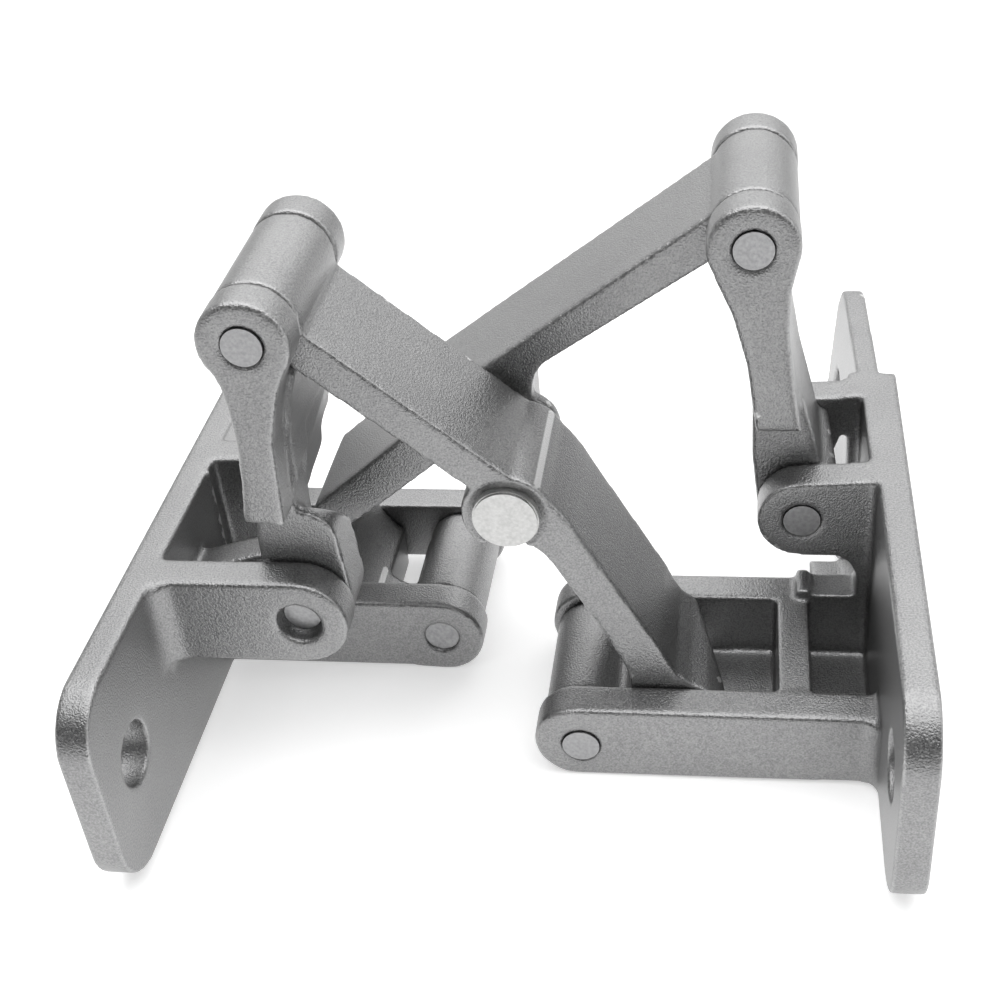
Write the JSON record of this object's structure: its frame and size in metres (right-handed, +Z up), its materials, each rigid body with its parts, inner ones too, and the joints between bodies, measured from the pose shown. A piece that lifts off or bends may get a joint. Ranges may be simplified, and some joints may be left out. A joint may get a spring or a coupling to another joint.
{
  "type": "concealed hinge",
  "caption": "Heavy concealed hinge: two cast mounting leaves joined by crossed arms and side links that fold together.",
  "frame": {"origin": "centre of the bounding box in plan, at its lowest edge, the hinge standing on its leaves' lower edges", "axes": "+Z up; the pins lie along Y; X runs from one mounting face to the other, and both faces are normal to it"},
  "size_m": [0.109, 0.1142, 0.0787],
  "materials": {
    "cast_alloy": "satin, bead blasted",
    "pin_steel": "ground",
    "bush_bronze": "sintered"
  },
  "bodies": {
    "left_leaf": {"left_leaf": "cast_alloy", "left_middle_pin": "pin_steel", "left_lower_pin": "pin_steel"},
    "rear_arm": {"rear_arm": "cast_alloy", "rear_arm_upper_bush": "bush_bronze", "rear_arm_cross_bush": "bush_bronze", "rear_arm_lower_bush": "bush_bronze"},
    "front_arm": {"front_arm": "cast_alloy", "front_arm_upper_bush": "bush_bronze", "front_arm_cross_bush": "bush_bronze", "front_arm_lower_bush": "bush_bronze", "crossing_pin": "pin_steel", "crossing_washer": "pin_steel", "crossing_collar": "pin_steel"},
    "right_leaf": {"right_leaf": "cast_alloy", "right_middle_pin": "pin_steel", "right_lower_pin": "pin_steel"},
    "left_link": {"left_link": "cast_alloy", "left_upper_pin": "pin_steel"},
    "right_link": {"right_link": "cast_alloy", "right_upper_pin": "pin_steel"}
  },
  "joints": [
    {"name": "left_lower_pivot", "type": "hinge", "parent": "left_leaf", "child": "rear_arm", "pos_m": [-0.01535, 0, 0.0066], "axis": [0, 1, 0], "range_deg": [0, 80]},
    {"name": "crossing_pivot", "type": "hinge", "parent": "rear_arm", "child": "front_arm", "pos_m": [0, 0, 0.0422], "axis": [0, 1, 0], "range_deg": [-47.81, 0]},
    {"name": "right_lower_pivot", "type": "hinge", "parent": "front_arm", "child": "right_leaf", "pos_m": [0.00855, 0, 0.0058], "axis": [0, 1, 0], "range_deg": [0, 54.02]},
    {"name": "left_upper_pivot", "type": "hinge", "parent": "front_arm", "child": "left_link", "pos_m": [-0.0294, 0, 0.0715], "axis": [0, 1, 0], "range_deg": [0, 45.56]},
    {"name": "right_upper_pivot", "type": "hinge", "parent": "rear_arm", "child": "right_link", "pos_m": [0.0321, 0, 0.0726], "axis": [0, 1, 0], "range_deg": [-38.9, 0]}
  ],
  "couplings": [
    {"joint": "crossing_pivot", "follows": "left_lower_pivot", "ratio": -0.5951},
    {"joint": "right_lower_pivot", "follows": "left_lower_pivot", "ratio": 0.6727},
    {"joint": "left_upper_pivot", "follows": "left_lower_pivot", "ratio": 0.567},
    {"joint": "right_upper_pivot", "follows": "left_lower_pivot", "ratio": -0.4838}
  ]
}
